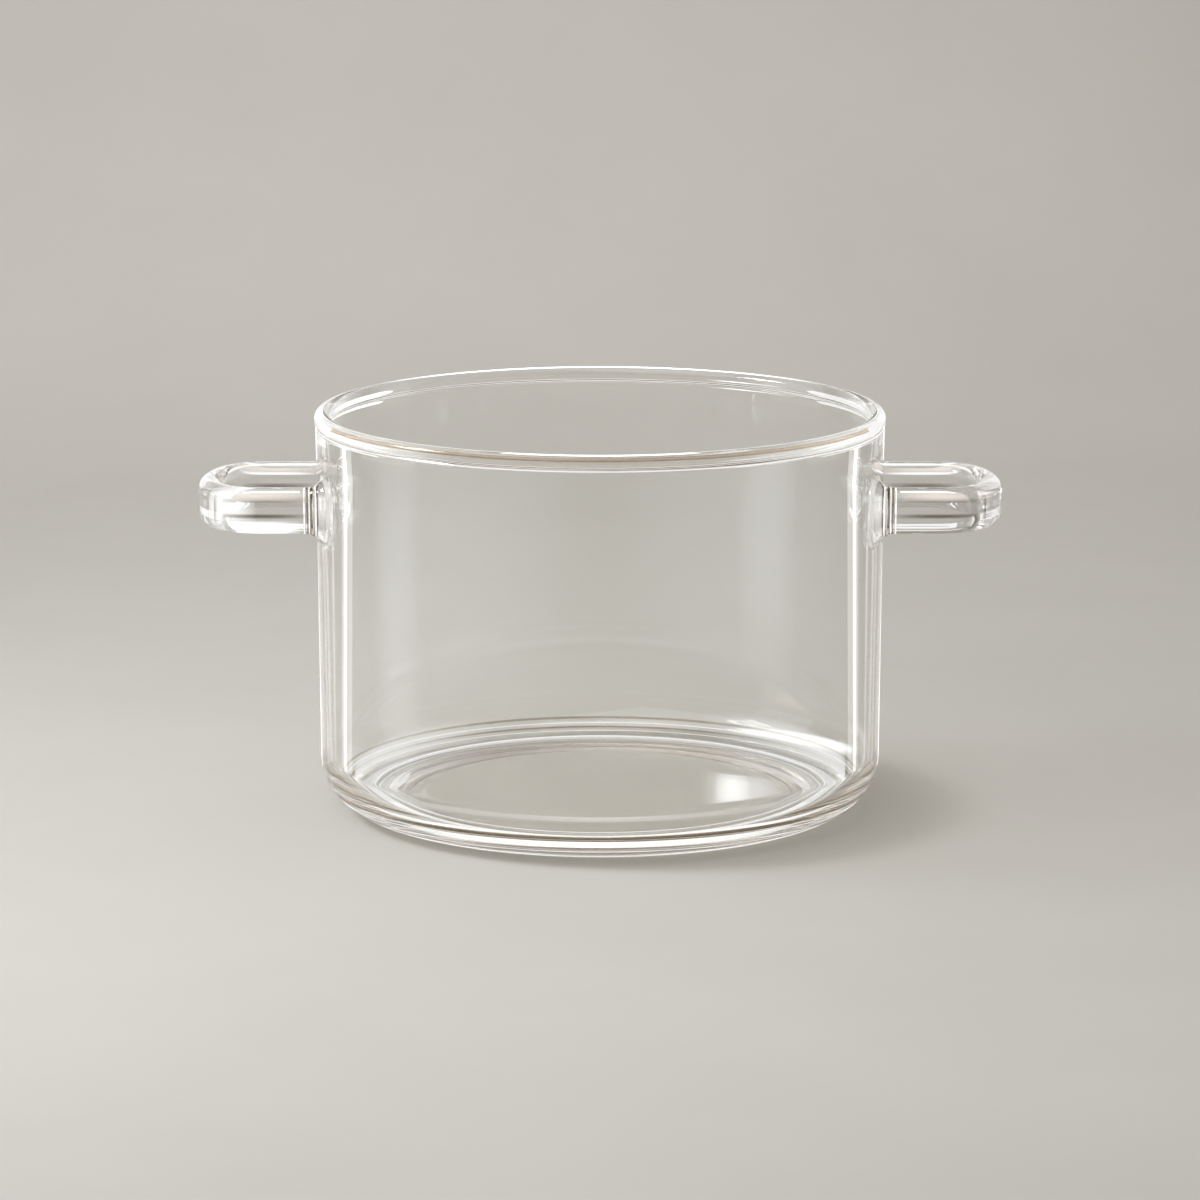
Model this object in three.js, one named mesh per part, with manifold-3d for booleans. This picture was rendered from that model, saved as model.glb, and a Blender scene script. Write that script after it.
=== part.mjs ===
// A clear glass cooking pot with no lid: a blown vessel with a fire-polished rim, and on each side
// a loop handle bent from a flat strap of glass. Each arm of a loop is joined to the wall by a weld,
// a collar of glass that flares out from the arm until it meets the wall.
// Millimetres, +Z up. The pot stands on Z = 0, its axis is Z, and the handles lie along X.

import * as THREE from "three";
import { mergeVertices } from "three/addons/utils/BufferGeometryUtils.js";
import Module from "manifold-3d";

const wasm = await Module();
wasm.setup();

// Vessel.
const RIM_DIAMETER = 160; // over the bead of the rim
const POT_HEIGHT = 113;
const WALL = 3; // thickness of the wall
const BASE = 4.5; // thickness of the floor at the foot ring
const DRAFT = 0.7; // how much the wall's radius shrinks from the rim to the heel
const BEAD = 4.8; // diameter of the bead that the flame leaves on the rim
const BEAD_PROUD = 0.45; // how far the bead stands out past the wall
const BEAD_FILLET = 2; // the hollow where the bead runs into the wall
const HEEL_RADIUS = 15; // outer round between the wall and the foot
const FLOOR_FILLET = 12; // inner round between the wall and the floor
const FOOT_WIDTH = 4.2; // the flat ring that the pot stands on
const PUSH_UP = 0.8; // how far the underside is hollowed inside the foot
const PUSH_UP_SLOPE = 1.2; // width of the slope from the foot up to the hollow

// Handles.
const HANDLE_DROP = 25.3; // from the top of the rim down to the middle of the strap
const HANDLE_STANDOFF = 33.3; // from the wall out to the far face of the loop
const ARM_SPACING = 43; // between the centre lines of a loop's two arms
const STRAP_HEIGHT = 12.8;
const STRAP_THICKNESS = 7.4;
const STRAP_EDGE = 3.5; // round along the strap's edges
const LOOP_CORNER = 14; // bend of the strap's centre line
const LOOP_CROWN = 1.4; // how far the end of the loop bows out between its bends

// Welds.
const WELD_LENGTH = 5.6; // along the arm, from the wall to the neck
const WELD_SPREAD = 4; // how far the flare reaches past the strap sideways
const WELD_RISE = 3.4; // the same above the strap
const WELD_DROP = 4.6; // the same below it, where the soft glass sagged
const WELD_SWEEP = THREE.MathUtils.degToRad(64); // turn of the flare's hollow flank
const WELD_CLEARANCE = 0.3; // left between a weld and the wall

// Fineness of the facets.
const ROUND_STEPS = 72;
const PROFILE_STEPS = 4;
const SECTION_STEPS = 2;
const LOOP_STEPS = 34;
const WELD_RINGS = 7;
const MERGE_DISTANCE = 1e-4;

const QUARTER = Math.PI / 2;

// What follows from the sizes.
const beadRadius = BEAD / 2;
const beadX = RIM_DIAMETER / 2 - beadRadius;
const beadZ = POT_HEIGHT - beadRadius;
const wallTop = RIM_DIAMETER / 2 - BEAD_PROUD;
const wallFoot = wallTop - DRAFT;
const footOuter = wallFoot - HEEL_RADIUS;
const footInner = footOuter - FOOT_WIDTH;
const handleZ = POT_HEIGHT - HANDLE_DROP;
const armY = ARM_SPACING / 2;
const handleWall = wallRadius(handleZ);
const neckX = Math.sqrt(handleWall ** 2 - armY ** 2) + WELD_LENGTH;
const loopX = handleWall + HANDLE_STANDOFF - STRAP_THICKNESS / 2;

// The wall's outer radius at a height: it tapers from under the rim to the top of the heel.
function wallRadius(z) {
  return wallFoot + (DRAFT * (z - HEEL_RADIUS)) / (beadZ - HEEL_RADIUS);
}

// A fillet that runs from the upright face at radius faceX into the bead: its centre, and the angle
// below level at which it touches the bead. The side is 1 outside the wall and -1 inside.
function beadFillet(faceX, side) {
  const x = faceX + side * BEAD_FILLET;
  const across = side * (x - beadX);
  const down = Math.sqrt((beadRadius + BEAD_FILLET) ** 2 - across ** 2);
  return { x, z: beadZ - down, angle: Math.atan2(down, across) };
}

// The vessel's half section: under the foot, up the outside, over the bead, down the inside to the floor.
function vesselProfile() {
  const innerFoot = wallFoot - WALL;
  const outer = beadFillet(wallTop, 1);
  const inner = beadFillet(wallTop - WALL, -1);
  const fillet = BASE + FLOOR_FILLET;
  const path = new THREE.Path();
  path.moveTo(0, PUSH_UP);
  path.lineTo(footInner - PUSH_UP_SLOPE, PUSH_UP);
  path.lineTo(footInner, 0);
  path.lineTo(footOuter, 0);
  path.absarc(footOuter, HEEL_RADIUS, HEEL_RADIUS, -QUARTER, 0, false);
  path.absarc(outer.x, outer.z, BEAD_FILLET, Math.PI, Math.PI - outer.angle, true);
  path.absarc(beadX, beadZ, beadRadius, -outer.angle, Math.PI + inner.angle, false);
  path.absarc(inner.x, inner.z, BEAD_FILLET, inner.angle, 0, true);
  path.absarc(innerFoot - FLOOR_FILLET, fillet, FLOOR_FILLET, 0, -QUARTER, true);
  path.lineTo(0, BASE);
  return path.getPoints(PROFILE_STEPS);
}

// Turns a half section, given as radius and height, about Z.
function revolve(profile) {
  return new THREE.LatheGeometry(profile, ROUND_STEPS).rotateX(QUARTER);
}

// The strap's outline, grown by a share of the weld's flare. It lies flat, with the strap's height along Y.
function strapOutline(flare) {
  const right = STRAP_THICKNESS / 2 + flare * WELD_SPREAD;
  const top = STRAP_HEIGHT / 2 + flare * WELD_RISE;
  const bottom = STRAP_HEIGHT / 2 + flare * WELD_DROP;
  const edge = Math.min(STRAP_EDGE, STRAP_THICKNESS / 2) + flare * WELD_SPREAD;
  const outline = new THREE.Shape();
  outline.absarc(right - edge, top - edge, edge, 0, QUARTER, false);
  outline.absarc(edge - right, top - edge, edge, QUARTER, 2 * QUARTER, false);
  outline.absarc(edge - right, edge - bottom, edge, 2 * QUARTER, 3 * QUARTER, false);
  outline.absarc(right - edge, edge - bottom, edge, 3 * QUARTER, 4 * QUARTER, false);
  outline.closePath();
  return outline;
}

// A path in plan, carried at one height.
class LevelPath extends THREE.Curve {
  constructor(plan, level) {
    super();
    this.plan = plan;
    this.level = level;
  }

  getPoint(t, target = new THREE.Vector3()) {
    const point = this.plan.getPoint(t);
    return target.set(point.x, point.y, this.level);
  }
}

// The loop of one handle: out along the rear arm, round a bend, the bowed end and a bend, and back.
function loopPath() {
  const bendY = armY - LOOP_CORNER;
  const bendX = loopX - LOOP_CORNER - LOOP_CROWN;
  const reach = (bendY ** 2 + LOOP_CROWN ** 2) / (2 * LOOP_CROWN);
  const bow = reach + LOOP_CORNER;
  const turn = Math.atan2(bendY, reach - LOOP_CROWN);
  const plan = new THREE.Path();
  plan.moveTo(neckX, armY);
  plan.lineTo(bendX, armY);
  plan.absarc(bendX, bendY, LOOP_CORNER, QUARTER, turn, true);
  plan.absarc(loopX - bow, 0, bow, turn, -turn, true);
  plan.absarc(bendX, -bendY, LOOP_CORNER, -turn, -QUARTER, true);
  plan.lineTo(neckX, -armY);
  return new LevelPath(plan, handleZ);
}

// Sweeps the strap along the loop. Along a level path an outline's X is carried as height.
function loopHandle() {
  const upright = strapOutline(0)
    .getPoints(SECTION_STEPS)
    .map((point) => new THREE.Vector2(-point.y, point.x));
  return new THREE.ExtrudeGeometry(new THREE.Shape(upright), {
    steps: LOOP_STEPS,
    extrudePath: loopPath(),
  });
}

// Skins a run of rings of equal count and closes both ends with a fan, as each ring is convex.
function loft(rings) {
  const count = rings[0].length;
  const last = (rings.length - 1) * count;
  const index = [];
  for (let ring = 0; ring + 1 < rings.length; ring++) {
    for (let i = 0; i < count; i++) {
      const here = ring * count + i;
      const next = ring * count + ((i + 1) % count);
      index.push(here, here + count, next);
      index.push(next, here + count, next + count);
    }
  }
  for (let i = 1; i + 1 < count; i++) {
    index.push(0, i, i + 1);
    index.push(last, last + i + 1, last + i);
  }
  const geometry = new THREE.BufferGeometry().setFromPoints(rings.flat());
  return geometry.setIndex(index);
}

// One ring of a weld: how far along it lies from the neck to the wall, and its share of the flare.
function weldRing(along, flare, armSide) {
  const outline = strapOutline(flare).getPoints(SECTION_STEPS);
  outline.pop();
  return outline.map((point) => {
    const y = armSide * armY + point.x;
    const wallX = Math.sqrt(handleWall ** 2 - y ** 2);
    return new THREE.Vector3(THREE.MathUtils.lerp(neckX, wallX, along), y, handleZ + point.y);
  });
}

// A weld's flank is a hollow quarter round from the arm to the wall. The side is 1 for the rear arm
// and -1 for the front arm. It is run on into the wall and cut back to it, less the clearance.
function weldCollar(armSide) {
  const rings = [];
  for (let ring = 0; ring < WELD_RINGS; ring++) {
    const turn = (WELD_SWEEP * ring) / (WELD_RINGS - 1);
    const along = Math.sin(turn) / Math.sin(WELD_SWEEP);
    const flare = (1 - Math.cos(turn)) / (1 - Math.cos(WELD_SWEEP));
    rings.push(weldRing(along, flare, armSide));
  }
  rings.push(weldRing(1 + WALL / WELD_LENGTH, 1, armSide));
  const wall = revolve([
    new THREE.Vector2(0, 0),
    new THREE.Vector2(wallRadius(0) + WELD_CLEARANCE, 0),
    new THREE.Vector2(wallRadius(POT_HEIGHT) + WELD_CLEARANCE, POT_HEIGHT),
    new THREE.Vector2(0, POT_HEIGHT),
  ]);
  return geometryOf(solidOf(loft(rings)).subtract(solidOf(wall)));
}

// A closed geometry as a solid that can be cut.
function solidOf(geometry) {
  const bare = geometry.clone();
  bare.deleteAttribute("normal");
  bare.deleteAttribute("uv");
  const merged = mergeVertices(bare, MERGE_DISTANCE);
  return new wasm.Manifold(
    new wasm.Mesh({
      numProp: 3,
      vertProperties: merged.getAttribute("position").array,
      triVerts: new Uint32Array(merged.index.array),
    }),
  );
}

// A cut solid as a geometry again.
function geometryOf(solid) {
  const mesh = solid.getMesh();
  const geometry = new THREE.BufferGeometry();
  geometry.setAttribute("position", new THREE.BufferAttribute(mesh.vertProperties, 3));
  geometry.setIndex(new THREE.BufferAttribute(mesh.triVerts, 1));
  geometry.computeVertexNormals();
  return geometry;
}

// A named piece of clear glass.
function glassPiece(name, geometry, color) {
  const material = new THREE.MeshStandardMaterial({
    color,
    roughness: 0.03,
    metalness: 0,
    transparent: true,
    opacity: 0.35,
    side: THREE.DoubleSide,
  });
  const piece = new THREE.Mesh(geometry, material);
  piece.name = name;
  return piece;
}

// One handle with its two welds, at the pot's right. The left one is the same, turned half round.
function handleGroup(side, turn, rearSide) {
  const group = new THREE.Group();
  group.add(glassPiece(side + "_handle", loopHandle(), 0xe9ebe8));
  group.add(glassPiece(side + "_rear_weld", weldCollar(rearSide), 0xdfe2de));
  group.add(glassPiece(side + "_front_weld", weldCollar(-rearSide), 0xdfe2de));
  group.rotation.z = turn;
  return group;
}

const pot = new THREE.Group();
pot.name = "glass_pot";
pot.add(glassPiece("vessel", revolve(vesselProfile()), 0xe4e7e4));
pot.add(handleGroup("right", 0, 1));
pot.add(handleGroup("left", Math.PI, -1));

export default pot;
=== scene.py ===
"""Looks of a clear glass cooking pot: a blown vessel and two loop handles, joined by flared welds.

All sizes are in metres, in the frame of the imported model: the pot stands on Z = 0, its axis is Z,
and the handles lie along X. The viewer looks along +Y.
"""

import logging
import math
from contextlib import contextmanager
from dataclasses import dataclass
from enum import Enum
from typing import Any, Callable, Iterator, Sequence

import bpy
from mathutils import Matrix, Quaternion, Vector


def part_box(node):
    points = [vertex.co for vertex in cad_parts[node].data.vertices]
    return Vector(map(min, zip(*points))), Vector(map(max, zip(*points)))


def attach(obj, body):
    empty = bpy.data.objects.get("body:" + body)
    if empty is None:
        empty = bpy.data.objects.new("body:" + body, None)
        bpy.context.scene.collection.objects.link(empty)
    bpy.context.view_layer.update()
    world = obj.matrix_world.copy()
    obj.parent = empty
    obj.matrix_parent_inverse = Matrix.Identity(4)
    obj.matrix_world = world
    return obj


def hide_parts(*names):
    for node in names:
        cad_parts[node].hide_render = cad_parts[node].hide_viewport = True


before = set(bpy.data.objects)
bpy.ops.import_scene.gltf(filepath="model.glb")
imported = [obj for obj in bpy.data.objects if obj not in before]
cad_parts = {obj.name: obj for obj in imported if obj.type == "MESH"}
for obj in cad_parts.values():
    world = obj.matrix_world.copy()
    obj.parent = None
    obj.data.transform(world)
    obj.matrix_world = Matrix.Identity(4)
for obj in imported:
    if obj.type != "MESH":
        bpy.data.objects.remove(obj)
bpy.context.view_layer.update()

LOG = logging.getLogger("glass_pot")
MM = 0.001
BODY = "root"
QUARTER = math.pi / 2
SMOOTH_ANGLE = math.radians(40)
MERGE_DISTANCE = 1e-6
SQUARE_ON = 0.99
GLASS_BOUNCES = 96
CLEAR_BOUNCES = 32
ORIGIN = (0.0, 0.0, 0.0)
UPRIGHT_AXIS = (0.0, 0.0, 1.0)

# Colours of the cards, lines and threads: white paints highlights, the others paint dark or beige
# reflections and shade in the glass.
WHITE = (1.0, 1.0, 1.0)
REFLECTED_BEIGE = (1.0, 0.92, 0.84)
DIM = (0.42, 0.39, 0.35)
DARK_REFLECTION_BROWN = (0.30, 0.23, 0.16)
NECK_DARK_REFLECTION = (0.45, 0.40, 0.34)
HEEL_DARK_REFLECTION = (0.76, 0.72, 0.66)

STRIP_SPREAD = math.radians(70)
RIM_SPREAD = math.radians(100)
FADE_PEAK = 16.0
NECK_DEPTH = -0.0215
FULL_TURN = (0.0, 360.0)
FRONT_HEEL = (75.0, 285.0)
FRONT_BEAD = (98.0, 262.0)
HEEL_BAND = (0.0655, 0.0695)
WELD_SPAN = (0.0765, 0.0985)
BEAD_SPAN = (0.1084, 0.1126)
BACK_SPAN = (0.012, 0.118)
WALL_SPAN = (0.009, 0.074)
TOP_SPAN = (0.0975, 0.108)
EDGE_STRIP = (0.0793, 0.0807)
MID_STRIP = (0.0886, 0.0915)
STRAP_RUN = (0.0800, 0.1075)
FAR_STRAP_RUN = (0.0800, 0.1040)
LEFT_ONLY = (-1,)

Colour = tuple[float, float, float]
Point = tuple[float, float, float]


class Socket:
    """One output of a shader node, so that shader maths reads as a plain expression."""

    def __init__(self, shader: "Shader", output: bpy.types.NodeSocket) -> None:
        """Wraps an output socket of a shader's tree."""
        self.shader = shader
        self.output = output

    def _math(self, operation: str, first: Any, second: Any) -> "Socket":
        """Adds one Math node on two values."""
        settings = {"operation": operation}
        return self.shader.node("ShaderNodeMath", settings, {0: first, 1: second})["Value"]

    def __add__(self, other: Any) -> "Socket":
        """Sum."""
        return self._math("ADD", self, other)

    def __radd__(self, other: Any) -> "Socket":
        """Sum with a number on the left."""
        return self._math("ADD", other, self)

    def __sub__(self, other: Any) -> "Socket":
        """Difference."""
        return self._math("SUBTRACT", self, other)

    def __rsub__(self, other: Any) -> "Socket":
        """Difference from a number on the left."""
        return self._math("SUBTRACT", other, self)

    def __mul__(self, other: Any) -> "Socket":
        """Product."""
        return self._math("MULTIPLY", self, other)

    def __rmul__(self, other: Any) -> "Socket":
        """Product with a number on the left."""
        return self._math("MULTIPLY", other, self)

    def larger(self, other: Any) -> "Socket":
        """The larger of two values."""
        return self._math("MAXIMUM", self, other)


class Shader:
    """A node tree that is written from scratch, for a material or the world."""

    def __init__(self, owner: bpy.types.Material | bpy.types.World) -> None:
        """Empties the owner's node tree."""
        owner.use_nodes = True
        self.tree = owner.node_tree
        self.tree.nodes.clear()

    def node(self, kind: str, settings: dict[str, Any] | None = None,
             inputs: dict[str | int, Any] | None = None) -> dict[str, Socket]:
        """Adds a node.

        Args:
            kind: The node's type.
            settings: Properties of the node, set before its sockets. "stops" fills a colour ramp.
            inputs: Values or links, by a socket's name or number.

        Returns:
            The node's outputs by name.
        """
        node = self.tree.nodes.new(kind)
        for name, value in (settings or {}).items():
            if name == "stops":
                self._fill_ramp(node.color_ramp, value)
            else:
                setattr(node, name, value)
        for name, value in (inputs or {}).items():
            if isinstance(value, Socket):
                self.tree.links.new(value.output, node.inputs[name])
            else:
                node.inputs[name].default_value = value
        return {output.name: Socket(self, output) for output in node.outputs if output.enabled}

    @staticmethod
    def _fill_ramp(ramp: bpy.types.ColorRamp, stops: Sequence[tuple[float, Colour]]) -> None:
        """Sets a colour ramp's stops, each a place and a colour."""
        while len(ramp.elements) < len(stops):
            ramp.elements.new(1.0)
        for element, (place, colour) in zip(ramp.elements, stops):
            element.position = place
            element.color = (*colour, 1.0)


@dataclass(frozen=True)
class ClearGlass:
    """Fire-polished borosilicate glass with the faint waves that blowing and drawing leave in it.

    The waves are a noise stretched along one axis: "grain" gives its waves per metre along X, Y and Z.
    Light on its way to the paper passes by fixed shares, and least through a vessel's thick heel.
    """

    name: str
    grain: Point
    wave_depth: float
    tint: Colour = (0.996, 0.998, 0.996)
    thick_tint: Colour = (0.990, 0.994, 0.989)
    index: float = 1.474
    smear: float = 0.012
    lamp_share: Colour = (0.95, 0.945, 0.935)
    bounce_share: Colour = (0.96, 0.96, 0.95)
    heel_share: Colour = (0.47, 0.455, 0.43)
    heel_radii: tuple[float, float] = (0.060, 0.068)
    heel_heights: tuple[float, float] = (0.010, 0.030)

    def _heel(self, shader: Shader, place: Socket) -> Socket:
        """Marks the thick heel of a vessel, 1 there and 0 elsewhere, which throws most light aside."""
        parts = shader.node("ShaderNodeSeparateXYZ", None, {"Vector": place})
        level = shader.node("ShaderNodeCombineXYZ", None, {"X": parts["X"], "Y": parts["Y"]})["Vector"]
        radius = shader.node("ShaderNodeVectorMath", {"operation": "LENGTH"}, {0: level})["Value"]
        outside, above = (
            shader.node("ShaderNodeMapRange", {"interpolation_type": "SMOOTHSTEP"}, {
                "Value": value, "From Min": start, "From Max": end})["Result"]
            for value, (start, end) in ((radius, self.heel_radii), (parts["Z"], self.heel_heights)))
        return outside * (1.0 - above)

    def make(self) -> bpy.types.Material:
        """Builds the material."""
        material = bpy.data.materials.new(self.name)
        shader = Shader(material)
        place = shader.node("ShaderNodeTexCoord")["Object"]
        stretched = shader.node("ShaderNodeMapping", None, {"Vector": place, "Scale": self.grain})
        waves = shader.node("ShaderNodeTexNoise", None, {
            "Vector": stretched["Vector"], "Scale": 1.0, "Detail": 2.0, "Roughness": 0.4})["Fac"]
        haze = shader.node("ShaderNodeTexNoise", None, {
            "Vector": place, "Scale": 26.0, "Detail": 3.0, "Roughness": 0.55})["Fac"]
        colour = shader.node("ShaderNodeValToRGB", {
            "stops": [(0.35, self.tint), (0.75, self.thick_tint)]}, {"Fac": haze})["Color"]
        ripple = shader.node("ShaderNodeBump", None, {
            "Height": waves, "Strength": 1.0, "Distance": self.wave_depth})["Normal"]
        surface = shader.node("ShaderNodeBsdfPrincipled", None, {
            "Base Color": colour,
            "Roughness": (haze - 0.5).larger(0.0) * self.smear,
            "IOR": self.index,
            "Transmission Weight": 1.0,
            "Normal": ripple})["BSDF"]
        ray = shader.node("ShaderNodeLightPath")
        bounced, lit, thick = (
            shader.node("ShaderNodeBsdfTransparent", None, {"Color": (*share, 1.0)})["BSDF"]
            for share in (self.bounce_share, self.lamp_share, self.heel_share))
        heel = self._heel(shader, place)
        lit = shader.node("ShaderNodeMixShader", None, {0: heel, 1: lit, 2: thick})["Shader"]
        for kind, clear in (("Is Diffuse Ray", bounced), ("Is Shadow Ray", lit)):
            surface = shader.node("ShaderNodeMixShader", None, {
                0: ray[kind], 1: surface, 2: clear})["Shader"]
        shader.node("ShaderNodeOutputMaterial", None, {"Surface": surface})
        return material


@dataclass(frozen=True)
class BodyTint:
    """The faint brown that long ways through the glass take on."""

    name: str = "body_tint"
    colour: Colour = (0.74, 0.69, 0.62)
    density: float = 18.0

    def make(self) -> bpy.types.Material:
        """Builds the material, which has no surface."""
        material = bpy.data.materials.new(self.name)
        shader = Shader(material)
        body = shader.node("ShaderNodeVolumeAbsorption", None, {
            "Color": (*self.colour, 1.0), "Density": self.density})["Volume"]
        shader.node("ShaderNodeOutputMaterial", None, {"Volume": body})
        return material


@dataclass(frozen=True)
class FusedContact:
    """The unseen face where two pieces of glass are melted into one: light passes straight through."""

    name: str = "fused_contact"

    def make(self) -> bpy.types.Material:
        """Builds the material."""
        material = bpy.data.materials.new(self.name)
        shader = Shader(material)
        surface = shader.node("ShaderNodeBsdfTransparent")["BSDF"]
        shader.node("ShaderNodeOutputMaterial", None, {"Surface": surface})
        return material


@dataclass(frozen=True)
class StudioPaper:
    """Matt grey-beige paper of the floor and backdrop, with a faint mottle."""

    name: str = "studio_paper"
    pale: Colour = (0.64, 0.631, 0.602)
    dull: Colour = (0.615, 0.606, 0.578)

    def make(self) -> bpy.types.Material:
        """Builds the material."""
        material = bpy.data.materials.new(self.name)
        shader = Shader(material)
        place = shader.node("ShaderNodeTexCoord")["Object"]
        mottle = shader.node("ShaderNodeTexNoise", None, {
            "Vector": place, "Scale": 9.0, "Detail": 4.0, "Roughness": 0.6})["Fac"]
        colour = shader.node("ShaderNodeValToRGB", {
            "stops": [(0.3, self.dull), (0.7, self.pale)]}, {"Fac": mottle})["Color"]
        surface = shader.node("ShaderNodeBsdfPrincipled", None, {
            "Base Color": colour, "Roughness": 0.9, "Specular IOR Level": 0.0})["BSDF"]
        shader.node("ShaderNodeOutputMaterial", None, {"Surface": surface})
        return material


class CardDuty(Enum):
    """What a card or line does: it shines or filters, with sharp or soft edges, or is a lamp."""

    LIGHT = "light"
    SHEEN = "sheen"
    FILTER = "filter"
    SMEAR = "soft filter"
    LAMP = "strip lamp"


class CardKind(Enum):
    """How a card of the studio is set up."""

    UPRIGHT = "bent round the pot and standing"
    FLOOR = "bent round the pot and lying on the floor"
    BACK = "flat, hung behind the pot"


def deselect_all() -> None:
    """Leaves nothing selected."""
    bpy.ops.object.select_all(action="DESELECT")


def take(piece: bpy.types.Object) -> None:
    """Makes one piece the only selected and the active one."""
    deselect_all()
    piece.select_set(True)
    bpy.context.view_layer.objects.active = piece


@contextmanager
def edit_mode(piece: bpy.types.Object, element: str = "VERT") -> Iterator[None]:
    """Opens one piece in edit mode, with everything on it selected.

    Args:
        piece: The piece to work on.
        element: What is picked there: VERT, EDGE or FACE.
    """
    take(piece)
    bpy.ops.object.mode_set(mode="EDIT")
    bpy.ops.mesh.select_mode(type=element)
    bpy.ops.mesh.select_all(action="SELECT")
    yield
    bpy.ops.object.mode_set(mode="OBJECT")


def pick_edges(piece: bpy.types.Object, wanted: Callable[[Vector, Vector], bool]) -> None:
    """Selects the edges of a piece in object mode whose two ends pass a test, and nothing else."""
    mesh = piece.data
    for group in (mesh.vertices, mesh.edges, mesh.polygons):
        group.foreach_set("select", [False] * len(group))
    for edge in mesh.edges:
        first, second = (mesh.vertices[i].co for i in edge.vertices)
        edge.select = wanted(first, second)


def close_holes(piece: bpy.types.Object) -> int:
    """Fills each open end of a piece.

    Args:
        piece: The piece to close.

    Returns:
        The index of the first new face.
    """
    first_new = len(piece.data.polygons)
    with edit_mode(piece, "EDGE"):
        bpy.ops.mesh.select_all(action="DESELECT")
        bpy.ops.mesh.select_non_manifold(extend=False, use_wire=False, use_boundary=True,
                                         use_multi_face=False, use_non_contiguous=False, use_verts=False)
        bpy.ops.mesh.fill_holes(sides=0)
    return first_new


def face_outwards(piece: bpy.types.Object) -> None:
    """Merges doubled points and turns every face of a closed piece outwards."""
    with edit_mode(piece):
        bpy.ops.mesh.remove_doubles(threshold=MERGE_DISTANCE)
        bpy.ops.mesh.normals_make_consistent(inside=False)


def copy_of(piece: bpy.types.Object, name: str) -> bpy.types.Object:
    """Copies a piece where it stands."""
    take(piece)
    bpy.ops.object.duplicate()
    copy = bpy.context.object
    copy.name = name
    return copy


def copy_turned(piece: bpy.types.Object, name: str) -> bpy.types.Object:
    """Copies a piece to the other side of the pot, half a turn about the pot's axis."""
    copy = copy_of(piece, name)
    with edit_mode(copy):
        bpy.ops.transform.rotate(value=math.pi, orient_axis="Z", center_override=ORIGIN)
    return copy


def copy_mirrored(piece: bpy.types.Object, name: str) -> bpy.types.Object:
    """Copies a piece from the rear arm to the front arm, mirrored in Y."""
    copy = copy_of(piece, name)
    with edit_mode(copy):
        bpy.ops.transform.resize(value=(1.0, -1.0, 1.0), center_override=ORIGIN)
        bpy.ops.mesh.normals_make_consistent(inside=False)
    return copy


def keep_to_glass(piece: bpy.types.Object) -> None:
    """Sets a piece of the studio to show in the glass alone and to light nothing else."""
    piece.visible_camera = False
    piece.visible_diffuse = False
    piece.visible_shadow = False


class HalfSection:
    """A half section of a turned piece, as points of radius and height, drawn stretch by stretch."""

    def __init__(self, radius: float, height: float) -> None:
        """Starts at a point."""
        self.points = [(radius, height)]

    def line_to(self, radius: float, height: float, steps: int = 1) -> None:
        """Draws a straight stretch in equal steps."""
        start_radius, start_height = self.points[-1]
        for step in range(1, steps + 1):
            share = step / steps
            self.points.append((start_radius + share * (radius - start_radius),
                                start_height + share * (height - start_height)))

    def arc(self, centre: tuple[float, float], size: float, start: float, end: float, steps: int) -> None:
        """Draws an arc about a centre from one angle to another, first joining up to its start."""
        for step in range(steps + 1):
            angle = start + (end - start) * step / steps
            self.points.append((centre[0] + size * math.cos(angle), centre[1] + size * math.sin(angle)))


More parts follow.
